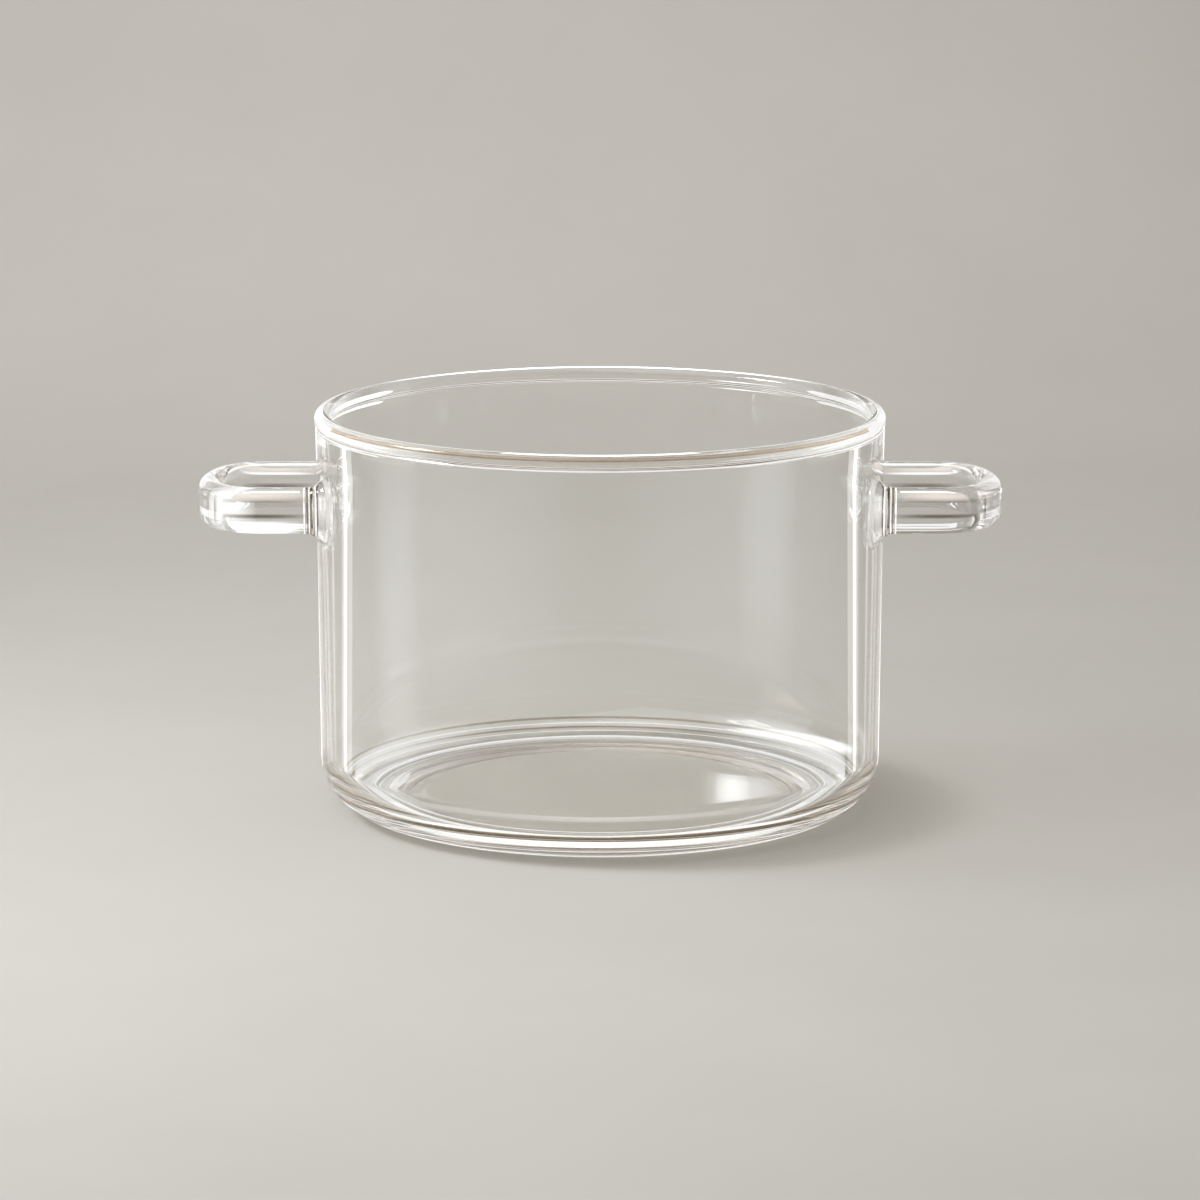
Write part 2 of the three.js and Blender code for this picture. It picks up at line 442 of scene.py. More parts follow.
@dataclass
class Vessel:
    """The blown body: foot ring, rounded heel, wall, rim bead, inner fillet and floor."""

    rim_radius: float
    height: float
    wall: float = 3.0 * MM
    base: float = 4.5 * MM
    draft: float = 0.7 * MM
    bead: float = 4.8 * MM
    bead_proud: float = 0.45 * MM
    bead_fillet: float = 2.0 * MM
    heel_radius: float = 15.0 * MM
    floor_fillet: float = 12.0 * MM
    foot_width: float = 4.2 * MM
    push_up: float = 0.8 * MM
    push_up_slope: float = 1.2 * MM
    round_steps: int = 240

    @classmethod
    def from_frame(cls) -> "Vessel":
        """Takes the vessel's outer sizes from its CAD node."""
        _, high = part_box("vessel")
        return cls(rim_radius=high.x, height=high.z)

    def wall_radius(self, height: float) -> float:
        """The wall's outer radius at a height."""
        top = self.rim_radius - self.bead_proud
        span = self.height - self.bead / 2 - self.heel_radius
        return top - self.draft * (1 - (height - self.heel_radius) / span)

    def _bead_fillet(self, face: float, side: int) -> tuple[tuple[float, float], float]:
        """The hollow between an upright face of the wall and the bead.

        Args:
            face: The face's radius.
            side: 1 outside the wall, -1 inside.

        Returns:
            The hollow's centre, and the angle below level at which it touches the bead.
        """
        half = self.bead / 2
        radius = face + side * self.bead_fillet
        across = side * (radius - self.rim_radius + half)
        down = math.sqrt((half + self.bead_fillet) ** 2 - across ** 2)
        return (radius, self.height - half - down), math.atan2(down, across)

    def half_section(self) -> HalfSection:
        """Draws the section from the middle of the underside round to the middle of the floor."""
        half = self.bead / 2
        wall_top = self.rim_radius - self.bead_proud
        wall_foot = wall_top - self.draft
        foot_outer = wall_foot - self.heel_radius
        foot_inner = foot_outer - self.foot_width
        inner_foot = wall_foot - self.wall
        inner_corner = (inner_foot - self.floor_fillet, self.base + self.floor_fillet)
        outer, outer_turn = self._bead_fillet(wall_top, 1)
        inner, inner_turn = self._bead_fillet(wall_top - self.wall, -1)
        bead_centre = (self.rim_radius - half, self.height - half)
        section = HalfSection(0.0, self.push_up)
        section.line_to(foot_inner - self.push_up_slope, self.push_up, 6)
        section.line_to(foot_inner, 0.0, 4)
        section.line_to(foot_outer, 0.0, 4)
        section.arc((foot_outer, self.heel_radius), self.heel_radius, -QUARTER, 0.0, 24)
        section.line_to(wall_top, outer[1], 12)
        section.arc(outer, self.bead_fillet, math.pi, math.pi - outer_turn, 4)
        section.arc(bead_centre, half, -outer_turn, math.pi + inner_turn, 28)
        section.arc(inner, self.bead_fillet, inner_turn, 0.0, 6)
        section.line_to(inner_foot, inner_corner[1], 12)
        section.arc(inner_corner, self.floor_fillet, 0.0, -QUARTER, 24)
        section.line_to(0.0, self.base, 8)
        return section

    def build(self) -> bpy.types.Object:
        """Draws the half section as a wire and spins it about the pot's axis."""
        points = [Vector((radius, 0.0, height)) for radius, height in self.half_section().points]
        deselect_all()
        bpy.ops.mesh.primitive_plane_add(size=MM)
        piece = bpy.context.object
        piece.name = "pot_vessel"
        with edit_mode(piece):
            bpy.ops.mesh.merge(type="CENTER")
            bpy.ops.transform.translate(value=points[0])
            for here, there in zip(points, points[1:]):
                if (there - here).length > MERGE_DISTANCE:
                    bpy.ops.mesh.extrude_region_move(TRANSFORM_OT_translate={"value": there - here})
            bpy.ops.mesh.select_all(action="SELECT")
            bpy.ops.mesh.spin(steps=self.round_steps, angle=2 * math.pi, center=ORIGIN, axis=UPRIGHT_AXIS)
        face_outwards(piece)
        return piece


@dataclass
class LoopHandle:
    """A loop bent from a flat strap of glass, modelled at the pot's right."""

    neck: float
    reach: float
    arm: float
    level: float
    strap_height: float
    thickness: float = 7.4 * MM
    edge: float = 3.5 * MM
    corner: float = 14.0 * MM
    crown: float = 1.4 * MM
    edge_steps: int = 8
    side_cuts: int = 3
    arm_steps: int = 8
    bend_steps: int = 22
    end_steps: int = 18

    @classmethod
    def from_frame(cls) -> "LoopHandle":
        """Takes the loop's outer sizes from the right handle's CAD node."""
        low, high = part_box("right_handle")
        return cls(neck=low.x, reach=high.x, arm=high.y - cls.thickness / 2,
                   level=(low.z + high.z) / 2, strap_height=high.z - low.z)

    def section_wire(self, name: str) -> bpy.types.Object:
        """Draws the strap's section at the rear arm's neck, as a plane's outline with rounded corners."""
        deselect_all()
        bpy.ops.mesh.primitive_plane_add(size=1.0)
        piece = bpy.context.object
        piece.name = name
        with edit_mode(piece):
            bpy.ops.transform.rotate(value=QUARTER, orient_axis="Y", center_override=ORIGIN)
            bpy.ops.transform.resize(value=(1.0, self.thickness, self.strap_height), center_override=ORIGIN)
            bpy.ops.mesh.bevel(offset_type="OFFSET", offset=self.edge, segments=self.edge_steps,
                               profile=0.5, affect="VERTICES")
            bpy.ops.transform.translate(value=(self.neck, self.arm, self.level))
            bpy.ops.mesh.delete(type="ONLY_FACE")
        step = 2 * self.edge * QUARTER / self.edge_steps
        pick_edges(piece, lambda first, second: (first - second).length > step)
        take(piece)
        bpy.ops.object.mode_set(mode="EDIT")
        bpy.ops.mesh.select_mode(type="EDGE")
        bpy.ops.mesh.subdivide(number_cuts=self.side_cuts)
        bpy.ops.object.mode_set(mode="OBJECT")
        return piece

    def build(self) -> bpy.types.Object:
        """Carries the section out along the rear arm, round the bends and the bowed end, and back."""
        bend_y = self.arm - self.corner
        loop_x = self.reach - self.thickness / 2
        bend_x = loop_x - self.corner - self.crown
        rise = (bend_y ** 2 + self.crown ** 2) / (2 * self.crown)
        turn = math.atan2(bend_y, rise - self.crown)
        bow_x = loop_x - rise - self.corner
        along = (bend_x - self.neck) / self.arm_steps
        bend = QUARTER - turn
        piece = self.section_wire("right_loop")
        with edit_mode(piece, "EDGE"):
            for _ in range(self.arm_steps):
                bpy.ops.mesh.extrude_edges_move(TRANSFORM_OT_translate={"value": (along, 0.0, 0.0)})
            for steps, angle, x, y in ((self.bend_steps, bend, bend_x, bend_y),
                                       (self.end_steps, 2 * turn, bow_x, 0.0),
                                       (self.bend_steps, bend, bend_x, -bend_y)):
                bpy.ops.mesh.spin(steps=steps, angle=angle, center=(x, y, 0.0), axis=UPRIGHT_AXIS)
            for _ in range(self.arm_steps):
                bpy.ops.mesh.extrude_edges_move(TRANSFORM_OT_translate={"value": (-along, 0.0, 0.0)})
        close_holes(piece)
        face_outwards(piece)
        return piece


@dataclass
class Weld:
    """The collar of glass that flares from a loop's arm to the wall, modelled at the right rear arm."""

    loop: LoopHandle
    vessel: Vessel
    spread: float = 4.0 * MM
    rise: float = 3.4 * MM
    drop: float = 4.6 * MM
    sweep: float = math.radians(84)
    rings: int = 44
    ripples: float = 3.0
    ripple_height: float = 0.14 * MM
    root: float = 1.4 * MM

    def _flared(self, point: Vector, along: float, flare: float) -> Vector:
        """Places a point of the strap's section on one ring of the weld.

        Args:
            point: The point at the neck.
            along: How far the ring lies from the neck, 0, to the wall, 1.
            flare: The ring's share of the flare.

        Returns:
            The point on the ring.
        """
        loop = self.loop
        side = point.y - loop.arm
        up = point.z - loop.level
        grow_y = flare * self.spread * side / (loop.thickness / 2)
        grow_z = flare * (self.rise if up > 0 else self.drop) * up / (loop.strap_height / 2)
        y = point.y + grow_y
        z = point.z + grow_z
        wall_x = math.sqrt(self.vessel.wall_radius(z) ** 2 - y ** 2)
        return Vector((loop.neck + along * (wall_x - loop.neck), y, z))

    def build(self) -> bpy.types.Object:
        """Extrudes the strap's section ring by ring and bends the rings out to the wall."""
        piece = self.loop.section_wire("right_rear_collar")
        neck_ring = [vertex.co.copy() for vertex in piece.data.vertices]
        with edit_mode(piece, "EDGE"):
            for _ in range(self.rings + 1):
                bpy.ops.mesh.extrude_edges_move(TRANSFORM_OT_translate={"value": (-MM, 0.0, 0.0)})
        for vertex in piece.data.vertices:
            ring = round((self.loop.neck - vertex.co.x) / MM)
            source = min(neck_ring, key=lambda p: (p.y - vertex.co.y) ** 2 + (p.z - vertex.co.z) ** 2)
            turn = self.sweep * min(ring, self.rings) / self.rings
            along = math.sin(turn) / math.sin(self.sweep)
            flare = (1 - math.cos(turn)) / (1 - math.cos(self.sweep))
            swell = self.ripple_height / self.spread * math.sin(math.pi * min(along, 1.0))
            flare += swell * math.sin(2 * math.pi * self.ripples * along)
            placed = self._flared(source, along, flare)
            if ring > self.rings:
                inward = 1 - self.root / self.vessel.wall_radius(placed.z)
                placed = Vector((placed.x * inward, placed.y * inward, placed.z))
            vertex.co = placed
        close_holes(piece)
        face_outwards(piece)
        return piece


@dataclass
class GlassPot:
    """The whole pot: the vessel, and on each side a loop and its two welds, melted together."""

    vessel: Vessel
    loop: LoopHandle
    weld: Weld
    tint_depth: float = 0.05 * MM

    @classmethod
    def from_frame(cls) -> "GlassPot":
        """Takes every outer size from the CAD model."""
        vessel = Vessel.from_frame()
        loop = LoopHandle.from_frame()
        return cls(vessel, loop, Weld(loop, vessel))

    def build(self) -> dict[str, bpy.types.Object]:
        """Models the pieces and melts the welds to the wall.

        Returns:
            The finished pieces, by the name of the CAD node that each stands for.
        """
        vessel = self.vessel.build()
        self._tint(vessel)
        right_loop = self.loop.build()
        right_rear = self.weld.build()
        right_front = copy_mirrored(right_rear, "right_front_collar")
        welds = {
            "right_rear_weld": right_rear,
            "right_front_weld": right_front,
            "left_front_weld": copy_turned(right_rear, "left_front_collar"),
            "left_rear_weld": copy_turned(right_front, "left_rear_collar"),
        }
        pieces = self._melt(vessel, welds)
        pieces["right_handle"] = right_loop
        pieces["left_handle"] = copy_turned(right_loop, "left_loop")
        return pieces

    def _tint(self, vessel: bpy.types.Object) -> None:
        """Sets a body of tint just under the vessel's skin, for the picture alone."""
        tint = copy_of(vessel, "vessel_tint")
        with edit_mode(tint):
            bpy.ops.transform.shrink_fatten(value=-self.tint_depth)
        tint.data.materials.append(BodyTint().make())
        tint.visible_diffuse = False
        tint.visible_shadow = False

    @staticmethod
    def _melt(vessel: bpy.types.Object, welds: dict[str, bpy.types.Object]) -> dict[str, bpy.types.Object]:
        """Joins the welds to the wall along their common outline, and parts them again there.

        Args:
            vessel: The vessel.
            welds: The welds, by node.

        Returns:
            The vessel and the welds, open where they touch.
        """
        for node, piece in {"vessel": vessel, **welds}.items():
            piece.data.materials.append(bpy.data.materials.new(node))
        for piece in welds.values():
            take(vessel)
            bpy.ops.object.modifier_add(type="BOOLEAN")
            join = vessel.modifiers[-1]
            join.operation = "UNION"
            join.solver = "EXACT"
            join.material_mode = "TRANSFER"
            join.object = piece
            bpy.ops.object.modifier_apply(modifier=join.name)
            bpy.data.objects.remove(piece)
        with edit_mode(vessel):
            bpy.ops.mesh.separate(type="MATERIAL")
        return {part.data.materials[0].name: part for part in bpy.context.selected_objects}

    def dress(self, pieces: dict[str, bpy.types.Object]) -> None:
        """Closes the pieces at their fused faces, gives each its glass, and ties it to the frame."""
        blown = ClearGlass("blown_glass", grain=(9.0, 9.0, 2.5), wave_depth=0.02 * MM).make()
        drawn = ClearGlass("drawn_glass", grain=(30.0, 70.0, 70.0), wave_depth=0.008 * MM).make()
        contact = FusedContact().make()
        for node, piece in pieces.items():
            first_new = close_holes(piece)
            piece.data.materials.clear()
            piece.data.materials.append(blown if node == "vessel" else drawn)
            piece.data.materials.append(contact)
            for number, face in enumerate(piece.data.polygons):
                at_neck = abs(abs(face.center.x) - self.loop.neck) < MERGE_DISTANCE
                across_strap = abs(face.normal.x) > SQUARE_ON
                face.material_index = int(number >= first_new or (at_neck and across_strap))
            take(piece)
            bpy.ops.object.shade_smooth_by_angle(angle=SMOOTH_ANGLE)
            piece.name = "clear_" + node
            piece.data.name = piece.name
            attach(piece, BODY)
            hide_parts(node)
            LOG.info("%s: %d faces", piece.name, len(piece.data.polygons))


@dataclass(frozen=True)
class Softbox:
    """A soft lamp, with its brightness as a share of white.

    A spread keeps a lamp's power, so one with a narrow spread is turned down to keep its brightness.
    """

    name: str
    place: Point
    aim: Point
    size: tuple[float, float]
    brightness: float
    spread: float = math.pi
    lights_paper: bool = True
    roll: float = 0.0

    def hang(self) -> None:
        """Hangs the lamp and points it."""
        bpy.ops.object.light_add(type="AREA", location=self.place)
        lamp = bpy.context.object
        lamp.name = self.name
        lamp.data.shape = "RECTANGLE"
        lamp.data.size, lamp.data.size_y = self.size
        half = self.spread / 2
        narrowing = 1.0 if self.spread == math.pi else 1.0 - half / math.tan(half)
        lamp.data.energy = self.brightness * math.pi * self.size[0] * self.size[1] * narrowing
        lamp.data.spread = self.spread
        lamp.visible_camera = False
        lamp.visible_diffuse = self.lights_paper
        facing = (Vector(self.aim) - Vector(self.place)).to_track_quat("-Z", "Y")
        lamp.rotation_euler = (facing @ Quaternion(UPRIGHT_AXIS, self.roll)).to_euler()


@dataclass(frozen=True)
class CardFace:
    """The face of a card, of one colour."""

    name: str
    colour: Colour
    strength: float
    duty: CardDuty

    def make(self, card: "Card | None" = None) -> bpy.types.Material:
        """Builds the material.

        Args:
            card: The card that a soft face fades out towards the edges of.
        """
        material = bpy.data.materials.new(self.name)
        shader = Shader(material)
        if self.duty in (CardDuty.FILTER, CardDuty.SMEAR):
            face = shader.node("ShaderNodeBsdfTransparent", None, {"Color": (*self.colour, 1.0)})["BSDF"]
        else:
            face = shader.node("ShaderNodeEmission", None, {
                "Color": (*self.colour, 1.0), "Strength": self.strength})["Emission"]
        if card is not None and self.duty in (CardDuty.SHEEN, CardDuty.SMEAR):
            clear = shader.node("ShaderNodeBsdfTransparent")["BSDF"]
            face = shader.node("ShaderNodeMixShader", None, {
                0: card.fade(shader), 1: clear, 2: face})["Shader"]
        shader.node("ShaderNodeOutputMaterial", None, {"Surface": face})
        return material


@dataclass(frozen=True)
class Card:
    """A card that shows only in the glass: a panel behind the pot, or a painted highlight or shade in or
    under the glass.

    A bent card's "across" is its two azimuths in degrees from +Y towards +X, and a flat one's is its two X.
    "reach" is the two heights of a standing card, or the two radii of one that lies on the floor.
    """

    name: str
    kind: CardKind
    across: tuple[float, float]
    reach: tuple[float, float]
    strength: float
    colour: Colour = WHITE
    duty: CardDuty = CardDuty.LIGHT
    ring_radius: float = 0.15
    back_distance: float = 0.5
    lean: float = 0.0
    cover: float = 1.0
    lift: float = 0.2 * MM
    step: float = 1.0

    @classmethod
    def bent(cls, name: str, across: tuple[float, float], reach: tuple[float, float], strength: float,
             ring_radius: float, cover: float) -> "Card":
        """Gives a soft white card that stands bent round the pot and paints a soft highlight in the glass.

        Args:
            name: The card's name.
            across: Its two azimuths.
            reach: Its two heights.
            strength: Its brightness as a share of white.
            ring_radius: How far it stands from the pot's axis.
            cover: How much of what is behind it its middle hides.

        Returns:
            The card.
        """
        return cls(name, CardKind.UPRIGHT, across, reach, strength, duty=CardDuty.SHEEN,
                   ring_radius=ring_radius, cover=cover)

    def fade(self, shader: Shader) -> Socket:
        """Gives the share of a soft face: full in the card's middle, nothing at its edges."""
        here = shader.node("ShaderNodeTexCoord")["Object"]
        place = shader.node("ShaderNodeSeparateXYZ", None, {"Vector": here})
        across, along = place["X"], place["Z"]
        first, last = self.across
        if self.kind is not CardKind.BACK:
            across = shader.node("ShaderNodeMath", {"operation": "ARCTAN2"}, {
                0: across, 1: place["Y"]})["Value"]
            first, last = math.radians(first), math.radians(last)
        if self.kind is CardKind.FLOOR:
            along = shader.node("ShaderNodeVectorMath", {"operation": "LENGTH"}, {0: here})["Value"]
        high = (along - self.reach[0]) * (1.0 / (self.reach[1] - self.reach[0]))
        wide = (across - high * self.lean - first) * (1.0 / (last - first))
        # Each of the two humps is 1/4 high.
        humps = (wide * (1.0 - wide)).larger(0.0) * (high * (1.0 - high)).larger(0.0)
        return humps * (FADE_PEAK * self.cover)

    def build(self) -> None:
        """Makes the card from an edge, drawn out or turned about the pot's axis."""
        first, last = self.across
        near, far = self.reach
        if self.kind is CardKind.FLOOR:
            edge = (Vector((0.0, near, self.lift)), Vector((0.0, far, self.lift)))
        elif self.kind is CardKind.UPRIGHT:
            edge = (Vector((0.0, self.ring_radius, near)), Vector((0.0, self.ring_radius, far)))
        else:
            edge = (Vector((first, self.back_distance, near)),
                    Vector((first + self.lean, self.back_distance, far)))
        deselect_all()
        bpy.ops.mesh.primitive_plane_add(size=MM)
        card = bpy.context.object
        card.name = self.name
        with edit_mode(card):
            bpy.ops.mesh.merge(type="CENTER")
            bpy.ops.transform.translate(value=edge[0])
            bpy.ops.mesh.extrude_region_move(TRANSFORM_OT_translate={"value": edge[1] - edge[0]})
            bpy.ops.mesh.select_all(action="SELECT")
            if self.kind is CardKind.BACK:
                bpy.ops.mesh.extrude_region_move(TRANSFORM_OT_translate={"value": (last - first, 0.0, 0.0)})
            else:
                bpy.ops.transform.rotate(value=math.radians(first), orient_axis="Z", center_override=ORIGIN)
                steps = math.ceil((last - first) / self.step)
                bpy.ops.mesh.spin(steps=steps, angle=math.radians(last - first), center=ORIGIN,
                                  axis=UPRIGHT_AXIS)
        card.data.materials.append(CardFace(self.name, self.colour, self.strength, self.duty).make(self))
        keep_to_glass(card)


@dataclass(frozen=True)
class Thread:
    """A thin bent thread in or by the glass, which only the picture has: lit, it paints a highlight line;
    tinted, a dark reflection line.

    "across" is its two azimuths in degrees from +Y towards +X.
    """

    name: str
    across: tuple[float, float]
    ring_radius: float
    level: float
    thickness: float
    colour: Colour
    duty: CardDuty = CardDuty.FILTER
    strength: float = 1.0
    round_steps: int = 10
    turn_steps: int = 144

    def build(self) -> None:
        """Draws a small circle and turns it about the pot's axis."""
        first, last = (math.radians(angle) for angle in self.across)
        deselect_all()
        bpy.ops.mesh.primitive_circle_add(vertices=self.round_steps, radius=self.thickness / 2)
        thread = bpy.context.object
        thread.name = self.name
        with edit_mode(thread):
            bpy.ops.transform.rotate(value=QUARTER, orient_axis="Y", center_override=ORIGIN)
            bpy.ops.transform.translate(value=(0.0, self.ring_radius, self.level))
            bpy.ops.transform.rotate(value=first, orient_axis="Z", center_override=ORIGIN)
            bpy.ops.mesh.spin(steps=self.turn_steps, angle=last - first, center=ORIGIN, axis=UPRIGHT_AXIS)
        thread.data.materials.append(CardFace(self.name, self.colour, self.strength, self.duty).make())
        keep_to_glass(thread)


@dataclass(frozen=True)
class WallLine:
    """A strip lamp by the wall's edges, or a painted highlight or dark reflection in the handles, seen
    through the glass.

    "across" is its two distances from the pot's axis at the level given, and "reach" its two heights.
    """

    name: str
    across: tuple[float, float]
    reach: tuple[float, float]
    strength: float
    colour: Colour = WHITE
    duty: CardDuty = CardDuty.LIGHT
    cover: float = 1.0
    depth: float = 0.005
    level: float = 0.043
    slope: float = math.tan(math.radians(0.7))
    sides: tuple[int, ...] = (-1, 1)

    def build(self) -> None:
        """Sets up the line at the left edge, side -1, and at the right edge, side 1."""
        low, high = self.reach
        shift = (low - self.level) * self.slope
        near, far = (distance + shift for distance in self.across)
        lean = (high - low) * self.slope
        for side in self.sides:
            name = ("left_" if side < 0 else "right_") + self.name
            if self.duty is CardDuty.LAMP:
                place = (side * (near + far + lean) / 2, self.depth, (low + high) / 2)
                viewer = (place[0], self.depth - 1.0, place[2])
                Softbox(name, place, viewer, (far - near, high - low), self.strength, STRIP_SPREAD,
                        lights_paper=False, roll=-side * math.atan(self.slope)).hang()
            else:
                across = (min(side * near, side * far), max(side * near, side * far))
                Card(name, CardKind.BACK, across, self.reach, self.strength, self.colour, self.duty,
                     back_distance=self.depth, lean=side * lean, cover=self.cover).build()


